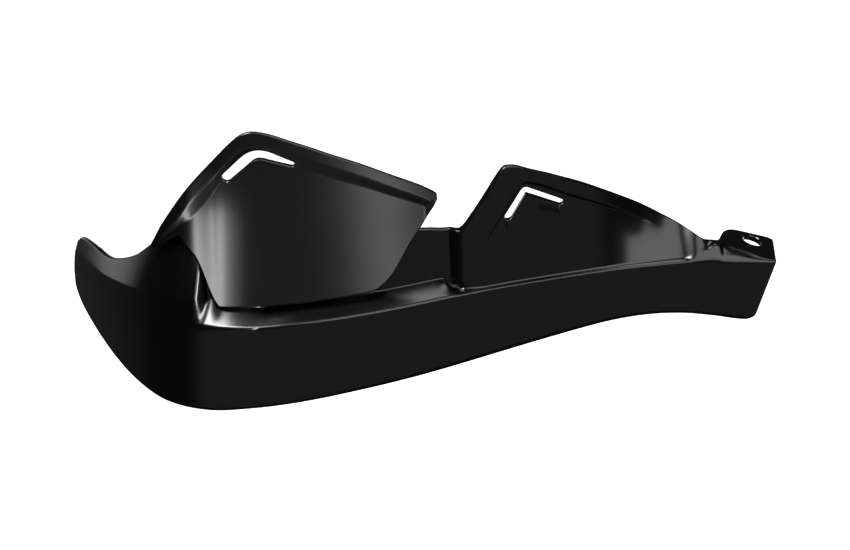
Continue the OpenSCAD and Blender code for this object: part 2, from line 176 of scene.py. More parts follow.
def line(points, blur):
    """Function of the distance from the corner that flows through the points, softened over a width."""
    x, y = np.array(points, float).T
    slope = np.diff(y) / np.diff(x)
    before, after = slope[:-1], slope[1:]
    turning = before * after <= 0
    total = np.where(turning, 1.0, before + after)
    inner = np.where(turning, 0.0, 2 * before * after / total)
    tangent = np.concatenate((slope[:1], inner, slope[-1:]))
    at = np.clip(LINE_GRID, x[0], x[-1])
    span = np.clip(np.searchsorted(x, at, side="right") - 1, 0, len(x) - 2)
    width = x[span + 1] - x[span]
    f = (at - x[span]) / width
    values = (
        (2 * f ** 3 - 3 * f ** 2 + 1) * y[span]
        + (f ** 3 - 2 * f ** 2 + f) * width * tangent[span]
        + (3 * f ** 2 - 2 * f ** 3) * y[span + 1]
        + (f ** 3 - f ** 2) * width * tangent[span + 1]
    )
    reach = int(math.ceil(3 * blur / LINE_SPACING))
    bell = np.exp(-0.5 * (np.arange(-reach, reach + 1) * LINE_SPACING / blur) ** 2)
    values = np.convolve(np.pad(values, reach, mode="edge"), bell / bell.sum(), mode="valid")
    return lambda here: float(np.interp(here, LINE_GRID, values))


def plan_curve():
    """The band's plan as rows of x, y, tangent angle and running length."""
    side = [(-a * SIDE_RUN, b * SIDE_DEPTH) for a, b in SIDE_SHAPE]
    front = [(a * FRONT_RUN, b * FRONT_SWEEP) for a, b in FRONT_SHAPE]
    marks = np.array(side + front)
    marks = np.vstack((2 * marks[0] - marks[1], marks, 2 * marks[-1] - marks[-2]))
    f = np.linspace(0, 1, STEPS_PER_SPAN + 1)[:-1, None]
    rows = []
    for i in range(1, len(marks) - 2):
        a, b, c, d = marks[i - 1 : i + 3]
        place = ((1 - f) ** 3 * a + (3 * f ** 3 - 6 * f ** 2 + 4) * b
                 + (-3 * f ** 3 + 3 * f ** 2 + 3 * f + 1) * c + f ** 3 * d) / 6
        rows.append(place)
    rows.append(((marks[-3] + 4 * marks[-2] + marks[-1]) / 6)[None])
    place = np.vstack(rows)
    heading = np.gradient(place, axis=0)
    angle = np.arctan2(heading[:, 1], heading[:, 0])
    run = np.concatenate(((0,), np.cumsum(np.linalg.norm(np.diff(place, axis=0), axis=1))))
    return np.column_stack((place, angle, run)).T


PLAN_X, PLAN_Y, PLAN_ANGLE, PLAN_RUN = plan_curve()


def plan_angle(x):
    return float(np.interp(x, PLAN_X, PLAN_ANGLE))


def on_plan(x, depth):
    """Point of the plan at a distance from the corner, moved inwards by a depth."""
    angle = plan_angle(x)
    y = np.interp(x, PLAN_X, PLAN_Y)
    return np.array((x - math.sin(angle) * depth, y + math.cos(angle) * depth))


# Form lines of the shell
bottom = line((
    (-SIDE_RUN, 10), (-SIDE_RUN + 2, 6), (-SIDE_RUN + 6, 4.4), (-64, 3.4), (-51, 1.6), (-37, 0.2),
    (-20, -1.5), (0, -1.7), (20, -0.3), (44, 1.4), (72, 3.6), (100, 5.5), (129, 7.8), (158, 10.3),
    (178, 12.1), (198, 14), (214, 14.6), (229, 14), (LUG_FROM, 11.6), (FRONT_RUN - 8, 9.4),
    (FRONT_RUN - 3, 9), (FRONT_RUN, 11),
), 1)
band_edge = line((
    (-SIDE_RUN, -24), (-60, -15), (-45, -8), (-30, -3.5), (-15, -0.8), (0, 0), (22, -0.5), (45, 0.5),
    (88, 1.3), (117, 1.8), (142, 1), (167, -0.2), (190, -1), (212, -1.2), (236, -0.7),
    (FRONT_RUN - 7, -1.2), (FRONT_RUN, -1.4),
), 4)
top = line((
    (-SIDE_RUN, TAIL_TOP - 6), (-SIDE_RUN + 2, TAIL_TOP - 1.1), (-SIDE_RUN + 5, TAIL_TOP + 1.4),
    (-66, TAIL_TOP + 5), (-60, TAIL_TOP + 7.5), (-54, 51.6), (-48, 56.4), (-40, 64.2), (-31.5, 75),
    (-20, 84), (0, 92), (20, 94), (40, 91), (70, NOTCH_TOP + 4), (100, NOTCH_TOP - 0.3),
    (110, NOTCH_TOP - 1.8), (118, NOTCH_TOP - 3.3), (122.2, NOTCH_TOP - 3.5), (123.6, NOTCH_TOP - 2.3),
    (127, NOTCH_TOP + 3.6), (134, 91.6), (FIN_AT - 2.7, FIN_TOP - 1.9), (FIN_AT - 0.8, FIN_TOP),
    (FIN_AT + 2, FIN_TOP - 0.1), (FIN_AT + 5, FIN_TOP - 0.9), (155, 100.3), (165, 95.9), (178, 89.6),
    (190, 82.6), (203, 74.3), (215, 66.2), (222.5, 61.2), (229, 57.6), (236, 54.1), (241, 51.2),
    (LUG_FROM, 49.4),
), 0.6)
knee_depth = line((
    (-SIDE_RUN, 1), (-50, 1.3), (-12, 1.3), (-3.6, 1.6), (-2.6, 2.6), (-0.6, SHELF_DEPTH - 1.2),
    (0.6, SHELF_DEPTH - 0.2), (2, SHELF_DEPTH), (108, SHELF_DEPTH), (118.5, SHELF_DEPTH - 0.7),
    (121, 6.5), (124, FIN_SET + 1.9), (128, FIN_SET + 0.5), (FIN_AT - 0.5, FIN_SET - 0.9),
    (FIN_AT + 8.5, PANEL_OUT), (194, PANEL_OUT), (220, FIN_SET), (FRONT_RUN, FIN_SET),
), 0.5)
knee_rise = line((
    (-SIDE_RUN, 8), (-50, 11), (-25, 13), (-4, 13), (0, SHELF_RISE + 5.5), (4, SHELF_RISE + 4.8),
    (8, SHELF_RISE + 3.1), (14, SHELF_RISE + 2.5), (20, SHELF_RISE + 1.7), (27, SHELF_RISE + 0.3),
    (33, SHELF_RISE), (115.5, SHELF_RISE), (119.2, 0.2), (150, 0.4), (228, 0.4), (236, 3),
), 0.8)
lean = line((
    (-SIDE_RUN, 0.3), (-50, 0.42), (-40, 0.43), (-30, 0.41), (-20, 0.385), (-14, 0.39), (-11, 0.41),
    (-8, 0.46), (-5, 0.54), (-2.6, 0.59), (-0.8, 0.27), (1.2, 0.14), (10, 0.125), (60, 0.1), (170, 0.12),
    (187, 0.2), (200, 0.36), (214, 0.66), (228, 0.95), (236, 0.9),
), 1)
edge_cut = line((
    (-SIDE_RUN, 7), (-30, 7), (-8, 3), (5, 1.4), (215, 1.4), (LUG_FROM, 3), (FRONT_RUN, 3.5),
), 4)
panel_top = line((
    (119.5, 44), (121.5, 50), (124, 57.2), (131.3, 67), (140.3, 79.3), (FIN_AT + 6.2, FIN_TOP - 10.8),
    (FIN_AT + 8, FIN_TOP - 9.4), (FIN_AT + 10.5, FIN_TOP - 10.1), (172.5, 84.6), (194.5, 72.6),
    (209, 63.6), (219, 57.4), (230, 52.5),
), 0.6)
lug_reach = line((
    (LUG_FROM - 3, 9), (LUG_FROM, 9.5), (LUG_FROM + 6, LUG_DEPTH - 2.5), (LUG_FROM + 8.5, LUG_DEPTH),
    (FRONT_RUN - 4, LUG_DEPTH), (FRONT_RUN - 1.5, LUG_DEPTH - 0.9), (FRONT_RUN, LUG_DEPTH - 3),
), 0.4)

# Form lines of the deflector
deflector_high = line((
    (-WING_REACH, 78.1), (-22.8, 88.6), (-14, 102), (-5.7, 111.5), (4.4, 120.4), (15.4, 129.8),
    (19.7, DEFLECTOR_TOP - 1.8), (23.3, DEFLECTOR_TOP - 0.4), (25.9, DEFLECTOR_TOP),
    (28.9, DEFLECTOR_TOP - 0.2), (49.9, 127.4), (63.7, 121.4), (78, 114.9), (93.3, 106.9), (105, 100.6),
    (109, 98), (DEFLECTOR_END - 1.5, 96.6), (DEFLECTOR_END, 95.2),
), 0.5)
deflector_low = line((
    (-WING_REACH, 76.9), (-12.6, 86.4), (-11.7, 85.5), (-11, 84.3), (-3.9, 76.3),
    (5.6, DEFLECTOR_BASE + 2), (7.3, DEFLECTOR_BASE), (36, DEFLECTOR_BASE + 0.4),
    (78, DEFLECTOR_BASE + 1.1), (81.5, DEFLECTOR_BASE + 1.6), (83.5, DEFLECTOR_BASE + 2.6),
    (88.4, 58.9), (100.4, 76), (105.3, 81.9), (109.6, 88.6), (DEFLECTOR_END - 0.7, 92.4),
    (DEFLECTOR_END, 93.8),
), 0.5)
rim_width = line((
    (-WING_REACH, 4), (-11, 8.3), (4, 7.5), (12, 7), (26, 6.1), (42, 5.6), (63, 5.3), (DEFLECTOR_END, 5.3),
), 2)
rim_slope = line((
    (-WING_REACH, 3), (-11, 7), (2, 8), (8, 6), (14, 4.5), (26, 2.9), (36, 3.2), (46, 5), (63, 5),
    (85, 4.4), (DEFLECTOR_END, 3.5),
), 2)


def moved_in(path, thickness):
    """An open path moved to its right, with mitred corners."""
    moved = []
    for i, point in enumerate(path):
        n1 = right_of(unit(path[max(i, 1)] - path[max(i, 1) - 1]))
        j = min(i, len(path) - 2)
        n2 = right_of(unit(path[j + 1] - path[j]))
        moved.append(point + thickness * (n1 + n2) / max(0.4, 1 + n1 @ n2))
    return moved


def stretch(start, end):
    """Points along a flat stretch, close to its ends so that its shading stays flat."""
    close = min(0.2, 0.3 / max(np.linalg.norm(end - start), 0.01))
    return [blend(f, start, end) for f in (close, 0.33, 0.67, 1 - close)]


def rounded(path, cuts, steps):
    """An open path whose inner corners are rounded over a length to each side."""
    out = [path[0]]
    for i in range(1, len(path) - 1):
        back = path[i - 1] - path[i]
        on = path[i + 1] - path[i]
        cut = min(cuts[i - 1], 0.46 * np.linalg.norm(back), 0.46 * np.linalg.norm(on))
        a = path[i] + cut * unit(back)
        b = path[i] + cut * unit(on)
        out += stretch(out[-1], a)
        for f in np.linspace(0, 1, steps[i - 1] + 1):
            out.append((1 - f) ** 2 * a + 2 * f * (1 - f) * path[i] + f * f * b)
    return out + stretch(out[-1], path[-1]) + [path[-1]]


def crown(outer, inner, steps=5):
    """Round edge that joins the end of an outer path to the end of an inner one."""
    across = unit(inner[-1] - outer[-1])
    on = unit(outer[-1] - outer[-2])
    radius = min(np.linalg.norm(inner[-1] - outer[-1]) * CROWN, END_ROUND)
    turns = np.linspace(0, math.pi / 2, steps + 1)[1:]
    first = [outer[-1] + radius * ((1 - math.cos(t)) * across + math.sin(t) * on) for t in turns]
    last = [inner[-1] + radius * ((math.cos(t) - 1) * across + math.sin(t) * on) for t in turns]
    return first + last[::-1]


def shortened(path, start, end):
    """A path with a length taken off each end."""
    path = list(path)
    path[0] = path[0] + start * unit(path[1] - path[0])
    path[-1] = path[-1] + end * unit(path[-2] - path[-1])
    return path


def closed_section(path, back, wall, inset, cuts, inner_cuts, steps, low_cut):
    """Closed ring round a wall between a path and another moved in; inset thins it towards a free end."""
    outer = rounded(shortened(moved_in(path, inset), low_cut + inset, inset), cuts, steps)
    inner = rounded(shortened(moved_in(back, wall - inset), low_cut + inset, inset), inner_cuts, steps)
    return outer + crown(outer, inner) + inner[::-1] + crown(inner[::-1], outer[::-1])


def shell_spacing(run):
    """Distance to leave between the shell's sections at a running length of the plan."""
    x = np.interp(run, PLAN_RUN, PLAN_X)
    fine = [spacing for low, high, spacing in SHELL_FINE if low < x < high]
    return min(fine + [SHELL_SPACING])


def end_sections(start, end, spacing_at, radius):
    """Places from start to end, each with its inset: close together where the free ends are rounded."""
    turns = np.linspace(math.pi / 2, 0, 6)
    rounding = [(radius * (1 - math.sin(t)), radius * (1 - math.cos(t))) for t in turns]
    walk = np.linspace(start + radius, end - radius, WALK_POINTS)
    steps = [(b - a) / spacing_at(b) for a, b in zip(walk[:-1], walk[1:])]
    passed = np.concatenate(((0,), np.cumsum(steps)))
    middle = np.interp(np.linspace(0, passed[-1], int(round(passed[-1])) + 1), passed, walk)[1:-1]
    return (
        [(start + run, inset) for run, inset in rounding]
        + [(place, 0.0) for place in middle]
        + [(end - run, inset) for run, inset in reversed(rounding)]
    )


def lug_surface(x, depth):
    """Height of the lug's upper face, before the end's lean moves the point."""
    here = ramp(x, FRONT_RUN - END_RUN, FRONT_RUN)
    share = END_SLANT * here / BAND_HEIGHT
    flat_x = on_plan(x, depth)[0] + END_SPLAY * here * depth / LUG_DEPTH - END_FOOT * share
    slope = math.tan(LUG_SLOPE)
    return (LUG_HEIGHT - slope * (flat_x - LUG_BORE_X)) / (1 + slope * share)


def shell_place(x, depth, height):
    """Place of a section's point; the inner end leans out with height and splays with depth."""
    place = on_plan(x, depth)
    shift = END_SLANT * (height - END_FOOT) / BAND_HEIGHT + END_SPLAY * depth / LUG_DEPTH
    return np.array((place[0] + shift * ramp(x, FRONT_RUN - END_RUN, FRONT_RUN), place[1], height))


BORE_CENTRE = shell_place(LUG_STATION, LUG_BORE_SET, lug_surface(LUG_STATION, LUG_BORE_SET))


def shell_path(x):
    """Control points of the shell's outer face at x: lip, band, shelf, panel, rim."""
    low = bottom(x)
    edge = BAND_TOP + band_edge(x)
    high = top(x)
    tilt = lean(x)
    knee_z = min(edge + knee_rise(x), high - SHEET_LEAST)
    knee = knee_depth(x)
    floor_in = blend(ramp(x, 117.5, 120.5), knee, max(knee, FIN_SET))
    split = min(max(panel_top(x), knee_z + PANEL_LEAST), high - STRIP_LEAST)
    strip = split + PANEL_STEP
    sheet = np.array((
        (floor_in, knee_z),
        (floor_in + tilt * (split - knee_z), split),
        (knee + tilt * (strip - knee_z), strip),
        (knee + tilt * (high - knee_z), high),
    ))
    in_lug = ramp(x, LUG_FROM - 10, LUG_FROM - 1)
    reach = lug_reach(x)
    start = min(blend(ramp(x, LUG_FROM, FRONT_RUN), 6.5, 4), reach / 2)
    depths = [blend(f, start, reach) for f in (0, 0.6, 0.8, 1)]
    lug = np.array([(depth, lug_surface(x, depth)) for depth in depths])
    band = [np.array(p) for p in ((LIP_DEPTH, low + 0.6), (0, low), (0, edge))]
    return band + list(blend(in_lug, sheet, lug))


def shell_back(x, wall):
    """Outer face from which the inner one is moved in: the deepest within reach, so that steps keep
    their wall."""
    reach = 0.75 * wall * (1 - ramp(x, 195, 215))
    path = shell_path(x)
    near = [shell_path(x - reach), shell_path(x + reach)]
    deepest = [max(path[i][0], near[0][i][0], near[1][i][0]) for i in range(3, 7)]
    return path[:3] + [np.array((depth, p[1])) for depth, p in zip(deepest, path[3:])]


def shell_section(x, inset, wall):
    """Closed ring round the shell's wall at x."""
    cuts = (LIP_TURN, edge_cut(x), KNEE_TURN, STEP_TURN, STEP_TURN)
    inner_cuts = (LIP_TURN - wall, EDGE_INNER_TURN, KNEE_INNER_TURN, STEP_INNER_TURN, STEP_INNER_TURN)
    ring = closed_section(
        shell_path(x), shell_back(x, wall), wall, inset, cuts, inner_cuts, SHELL_TURN_STEPS, CROWN * wall
    )
    return np.array([shell_place(x, *p) for p in ring])


def deflector_depth(x, height):
    flare = WING_FLARE * ramp(-x, -6, WING_ROOT)
    return DEFLECTOR_SET + DEFLECTOR_LEAN * (height - DEFLECTOR_BASE) - flare


def deflector_path(x):
    """Control points of the deflector's front at x: panel, slope, rim."""
    high = deflector_high(x)
    low = min(deflector_low(x), high - DEFLECTOR_LEAST)
    room = high - low
    rim = min(rim_width(x), 0.55 * room)
    slope = min(rim_slope(x), 0.25 * room)
    step = RIM_STEP * ramp(room, 3, 16)
    heights = ((low, step), (high - rim - slope, step), (high - rim, 0), (high, 0))
    return [np.array((deflector_depth(x, h) + back, h)) for h, back in heights]


def deflector_section(x, inset, plate):
    """Closed ring round the deflector's plate at x."""
    path = deflector_path(x)
    ring = closed_section(path, path, plate, inset, RIM_TURNS, RIM_INNER_TURNS, RIM_TURN_STEPS, 0)
    return np.array([(*on_plan(x, p[0]), p[1]) for p in ring])


def front_y(path_of, across, height):
    """Place along Y of a front face at a point of the front view."""
    x = across
    for _ in range(8):
        path = np.array(path_of(x))
        depth = np.interp(height, path[:, 1], path[:, 0])
        x = across + math.sin(plan_angle(x)) * depth
    return on_plan(x, depth)[1]


def bent_slot(points, shape, width, wider):
    """Outline of a slot of two round-ended legs, made wider all round by a length."""
    a, b, c = (np.array(p, float) for p in points)
    shares, outer_bend, inner_bend = shape
    first, second = unit(b - a), unit(c - b)
    n1, n2 = -right_of(first), -right_of(second)
    start, middle, end = (share * width / 2 + wider for share in shares)
    mitre = middle * (n1 + n2) / (1 + n1 @ n2)

    def cap(centre, radius, heading):
        turn = math.atan2(-heading[0], heading[1])
        turns = [turn + math.pi / 2 - math.pi * k / 12 for k in range(13)]
        return [centre + radius * np.array((-math.sin(t), math.cos(t))) for t in turns]

    outer = rounded([a + start * n1, b + mitre, c + end * n2], (outer_bend,), (8,))
    inner = rounded([c - end * n2, b - mitre, a - start * n1], (inner_bend,), (6,))
    return outer + cap(c, end, second)[1:-1] + inner + cap(a, start, -first)[1:-1]


def new_piece(name, mesh):
    piece = bpy.data.objects.new(name, mesh)
    bpy.context.scene.collection.objects.link(piece)
    return piece


def skinned(name, rings, looped=False):
    """Closed mesh over closed rings in scene units: a row with a flat face at each end, or a loop."""
    around = len(rings[0])
    count = len(rings)
    faces = []
    for i in range(count if looped else count - 1):
        here, after = i * around, (i + 1) % count * around
        faces += [
            (here + k, here + (k + 1) % around, after + (k + 1) % around, after + k) for k in range(around)
        ]
    if not looped:
        faces.append(tuple(range(around)))
        faces.append(tuple((count - 1) * around + k for k in range(around)))
    mesh = bpy.data.meshes.new(name)
    mesh.from_pydata(np.concatenate(rings).tolist(), [], faces)
    form = bmesh.new()
    form.from_mesh(mesh)
    bmesh.ops.recalc_face_normals(form, faces=form.faces)
    form.to_mesh(mesh)
    form.free()
    return new_piece(name, mesh)


def in_frame(ring):
    """A ring of the form lines, in millimetres, moved into the scene's frame."""
    return (ring - BORE_CENTRE) * MM


def turned(name, rings, around=64):
    """Piece turned about +Z; each ring is a height and a radius, or a radius for each angle."""
    angles = np.arange(around) * 2 * math.pi / around
    loops = []
    for height, radius in rings:
        radii = np.array([radius(t) if callable(radius) else radius for t in angles])
        heights = np.full(around, height)
        loops.append(np.column_stack((radii * np.cos(angles), radii * np.sin(angles), heights)))
    return skinned(name, loops)


def merged(name, parts):
    """One piece made of several that don't touch."""
    form = bmesh.new()
    for part in parts:
        part.data.transform(part.matrix_world)
        form.from_mesh(part.data)
        bpy.data.objects.remove(part)
    mesh = bpy.data.meshes.new(name)
    form.to_mesh(mesh)
    form.free()
    return new_piece(name, mesh)


def combined(piece, tool, operation):
    """Joins a tool to a piece or cuts it away, and deletes the tool."""
    step = piece.modifiers.new(operation, "BOOLEAN")
    step.operation = operation
    step.solver = "EXACT"
    step.object = tool
    shaped = piece.evaluated_get(bpy.context.evaluated_depsgraph_get())
    mesh = bpy.data.meshes.new_from_object(shaped)
    if not mesh.polygons:
        raise RuntimeError(f"{operation} with {tool.name} left nothing of {piece.name}")
    piece.modifiers.clear()
    piece.data = mesh
    bpy.data.objects.remove(tool)


def smoothed(piece, angle):
    """Smooth shading with creases sharper than an angle kept."""
    piece.data.shade_smooth()
    piece.data.set_sharp_from_angle(angle=angle)


def facing_in(node, x, middle):
    """Matrix that puts a turned piece on a node's own axis, its +Z pointing inwards.

    middle is the height in the piece that lies at the middle of the node."""
    low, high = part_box(node)
    angle = plan_angle(x)
    axis = Vector((-math.sin(angle), math.cos(angle), 0))
    along = Vector((math.cos(angle), math.sin(angle), 0))
    matrix = Matrix((along, Vector((0, 0, -1)), axis)).transposed().to_4x4()
    matrix.translation = (low + high) / 2 - middle * axis
    return matrix


def finished(piece, material, slot, *nodes):
    """Gives a piece its material and its place on the frame."""
    piece.data.materials.clear()
    piece.data.materials.append(material)
    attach(piece, "root")
    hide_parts(*nodes)


def slot_tool(name, front_path, wall, points, shape, width, ease):
    """Cutter for a slot, with a chamfer where it meets the front face and the back one."""
    def back_path(x):
        return moved_in(front_path(x), wall)

    outline = np.array(bent_slot(points, shape, width, 0))
    mouth = np.array(bent_slot(points, shape, width, 2 * ease))
    front = np.array([front_y(front_path, *p) for p in outline])
    back = np.array([front_y(back_path, *p) for p in outline])
    rings = []
    for y, shape_here in (
        (np.full(len(front), front.min() - 2), mouth), (front - ease, mouth), (front + ease, outline),
        (back - ease, outline), (back + ease, mouth), (np.full(len(back), back.max() + 2), mouth),
    ):
        rings.append(in_frame(np.column_stack((shape_here[:, 0], y, shape_here[:, 1]))))
    return skinned(name, rings)


# Materials: how far a plastic's roughness varies, and the height of the finest grain
ROUGHNESS_SPREAD = 0.03
FINE_GRAIN = 0.02 * MM


def srgb(code):
    """Linear colour of an sRGB hex code such as 0B0C0C."""
    channels = [int(code[i : i + 2], 16) / 255 for i in (0, 2, 4)]
    return [c / 12.92 if c <= 0.04045 else ((c + 0.055) / 1.055) ** 2.4 for c in channels] + [1.0]


def per_metre(size_mm):
    """Texture scale at which a pattern repeats about once in a size."""
    return 1 / (size_mm * MM)


def add(tree, kind, settings, links=()):
    """Adds a node: settings fill its inputs or its own values, links join outputs to its inputs."""
    node = tree.nodes.new(kind)
    for name, value in settings.items():
        if isinstance(name, int) or name in node.inputs:
            node.inputs[name].default_value = value
        else:
            setattr(node, name, value)
    for name, source in dict(links).items():
        tree.links.new(source, node.inputs[name])
    return node


def new_material(name):
    """Empty material with its node tree and the piece's own coordinates."""
    material = bpy.data.materials.new(name)
    material.use_nodes = True
    tree = material.node_tree
    tree.nodes.clear()
    place = add(tree, "ShaderNodeTexCoord", {}).outputs["Object"]
    return material, tree, place


def finish_material(tree, settings, links, haze=None, roughness=(0, 1)):
    """Ends a material; where a haze from 0 to 1 is given, its roughness follows it over a range."""
    if haze:
        low, high = roughness
        spread = add(tree, "ShaderNodeMapRange", {"To Min": low, "To Max": high}, {"Value": haze})
        links = {**links, "Roughness": spread.outputs["Result"]}
    shader = add(tree, "ShaderNodeBsdfPrincipled", settings, links)
    add(tree, "ShaderNodeOutputMaterial", {}, {"Surface": shader.outputs["BSDF"]})


def about(middle):
    """Range of a plastic's roughness about its middle."""
    return middle - ROUGHNESS_SPREAD, middle + ROUGHNESS_SPREAD


def moulded_polypropylene(looks):
    """Gloss black polypropylene, injection moulded in a polished tool: deep black, with a mirror-like
    skin that ripples very slightly and a faint haze from handling."""
    material, tree, place = new_material("moulded_gloss_polypropylene")
    haze = add(tree, "ShaderNodeTexNoise", {"Scale": per_metre(22), "Detail": 4.0}, {"Vector": place})
    ripple = add(tree, "ShaderNodeTexNoise", {"Scale": per_metre(9), "Detail": 1.0}, {"Vector": place})
    tint = add(
        tree, "ShaderNodeMix",
        {"data_type": "RGBA", "A": srgb(looks.shell_dark), "B": srgb(looks.shell_light)},
        {"Factor": haze.outputs["Fac"]},
    )
    skin = add(
        tree, "ShaderNodeBump", {"Strength": 0.5, "Distance": FINE_GRAIN}, {"Height": ripple.outputs["Fac"]}
    )
    finish_material(
        tree, {"IOR": 1.49}, {"Base Color": tint.outputs["Result"], "Normal": skin.outputs["Normal"]},
        haze.outputs["Fac"], about(looks.shell_roughness),
    )
    return material


def satin_polypropylene(looks):
    """Black polypropylene moulded in a finely spark-eroded tool: a satin skin that smears reflections
    into soft bands, over a grain too fine to see from a step away."""
    material, tree, place = new_material("moulded_satin_polypropylene")
    grain = add(tree, "ShaderNodeTexNoise", {"Scale": per_metre(0.9), "Detail": 2.0}, {"Vector": place})
    haze = add(tree, "ShaderNodeTexNoise", {"Scale": per_metre(30), "Detail": 3.0}, {"Vector": place})
    tint = add(
        tree, "ShaderNodeMix",
        {"data_type": "RGBA", "A": srgb(looks.deflector_dark), "B": srgb(looks.deflector_light)},
        {"Factor": haze.outputs["Fac"]},
    )
    skin = add(
        tree, "ShaderNodeBump", {"Strength": 0.35, "Distance": FINE_GRAIN}, {"Height": grain.outputs["Fac"]}
    )
    finish_material(
        tree, {"IOR": 1.5}, {"Base Color": tint.outputs["Result"], "Normal": skin.outputs["Normal"]},
        haze.outputs["Fac"], about(looks.deflector_roughness),
    )
    return material


def zinc_plate(looks):
    """Zinc-plated steel with a clear passivate: a bright grey with faint crystalline clouding."""
    material, tree, place = new_material("zinc_plated_steel")
    crystals = add(tree, "ShaderNodeTexVoronoi", {"Scale": per_metre(0.8)}, {"Vector": place})
    clouds = add(tree, "ShaderNodeTexNoise", {"Scale": per_metre(3), "Detail": 4.0}, {"Vector": place})
    tint = add(
        tree, "ShaderNodeMix", {"data_type": "RGBA", "A": srgb(looks.zinc), "B": srgb("C9CCD1")},
        {"Factor": clouds.outputs["Fac"]},
    )
    skin = add(
        tree, "ShaderNodeBump", {"Strength": 0.2, "Distance": FINE_GRAIN},
        {"Height": crystals.outputs["Distance"]},
    )
    finish_material(
        tree, {"Metallic": 1.0}, {"Base Color": tint.outputs["Result"], "Normal": skin.outputs["Normal"]},
        clouds.outputs["Fac"], (0.24, 0.38),
    )
    return material


def turned_brass(looks):
    """Free-cutting brass turned on a lathe: warm yellow with fine rings left by the tool."""
    material, tree, place = new_material("turned_brass")
    rings = add(
        tree, "ShaderNodeTexWave",
        {"wave_type": "RINGS", "rings_direction": "Z", "Scale": per_metre(3), "Distortion": 0.4},
        {"Vector": place},
    )
    stain = add(tree, "ShaderNodeTexNoise", {"Scale": per_metre(4), "Detail": 3.0}, {"Vector": place})
    tint = add(
        tree, "ShaderNodeMix", {"data_type": "RGBA", "A": srgb(looks.brass), "B": srgb("A98A45")},
        {"Factor": stain.outputs["Fac"]},
    )
    skin = add(
        tree, "ShaderNodeBump", {"Strength": 0.3, "Distance": 1.5 * FINE_GRAIN},
        {"Height": rings.outputs["Fac"]},
    )
    finish_material(
        tree, {"Metallic": 1.0}, {"Base Color": tint.outputs["Result"], "Normal": skin.outputs["Normal"]},
        stain.outputs["Fac"], (0.2, 0.34),
    )
    return material


def glowing_card(name, glow):
    """Matt black card that gives off an even light, which sets how bright the plastic mirrors it."""
    material, tree, _ = new_material(name)
    finish_material(
        tree, {"Base Color": srgb("020202"), "Roughness": 1.0, "Specular IOR Level": 0.0,
               "Emission Color": (1, 1, 1, 1), "Emission Strength": glow}, {})
    return material


def white_backdrop(glow):
    """Matt white paper; what looks straight at it, or sees it mirrored or through glass, sees it white."""
    material, tree, _ = new_material("white_paper")
    sight = add(tree, "ShaderNodeLightPath", {})
    seen = sight.outputs["Is Camera Ray"]
    for way in ("Is Glossy Ray", "Is Transmission Ray"):
        links = {0: seen, 1: sight.outputs[way]}
        seen = add(tree, "ShaderNodeMath", {"operation": "MAXIMUM"}, links).outputs[0]
    strength = add(tree, "ShaderNodeMath", {"operation": "MULTIPLY", 1: glow}, {0: seen}).outputs[0]
    finish_material(
        tree, {"Base Color": srgb("F2F2F2"), "Roughness": 0.9, "Emission Color": (1, 1, 1, 1)},
        {"Emission Strength": strength},
    )
    return material


# Sizes and looks


class ShellSizes(bpy.types.PropertyGroup):
    """Sizes of the moulded shell."""

    wall: bpy.props.FloatProperty(
        name="Wall", description="Wall thickness of the moulding", default=2.8 * MM, unit="LENGTH")
    slot: bpy.props.FloatProperty(
        name="Fin slot", description="Width of the slot in the fin", default=3.6 * MM, unit="LENGTH")
    slot_ease: bpy.props.FloatProperty(
        name="Slot easing", description="Width by which a slot's mouth is eased", default=0.25 * MM,
        unit="LENGTH")
    lug_bore: bpy.props.FloatProperty(
        name="Lug bore", description="Diameter of the fixing bore", default=10 * MM, unit="LENGTH")
    pad: bpy.props.FloatProperty(
        name="Pad", description="Diameter of a washer's pad", default=14.5 * MM, unit="LENGTH")
    pad_length: bpy.props.FloatProperty(
        name="Pad length", description="Length of a pad, part of it in the wall", default=5 * MM,
        unit="LENGTH")
    boss: bpy.props.FloatProperty(
        name="Boss", description="Diameter of an insert's boss", default=13.8 * MM, unit="LENGTH")


class DeflectorSizes(bpy.types.PropertyGroup):
    """Sizes of the wind deflector."""

    plate: bpy.props.FloatProperty(
        name="Plate", description="Thickness of the deflector", default=2.5 * MM, unit="LENGTH")
    slot: bpy.props.FloatProperty(
        name="Slot", description="Width of the deflector's slot", default=3.4 * MM, unit="LENGTH")
    post: bpy.props.FloatProperty(
        name="Post", description="Diameter of a screw post", default=8.4 * MM, unit="LENGTH")
    post_length: bpy.props.FloatProperty(
        name="Post length", description="Length of a screw post behind the panel", default=8.7 * MM,
        unit="LENGTH")


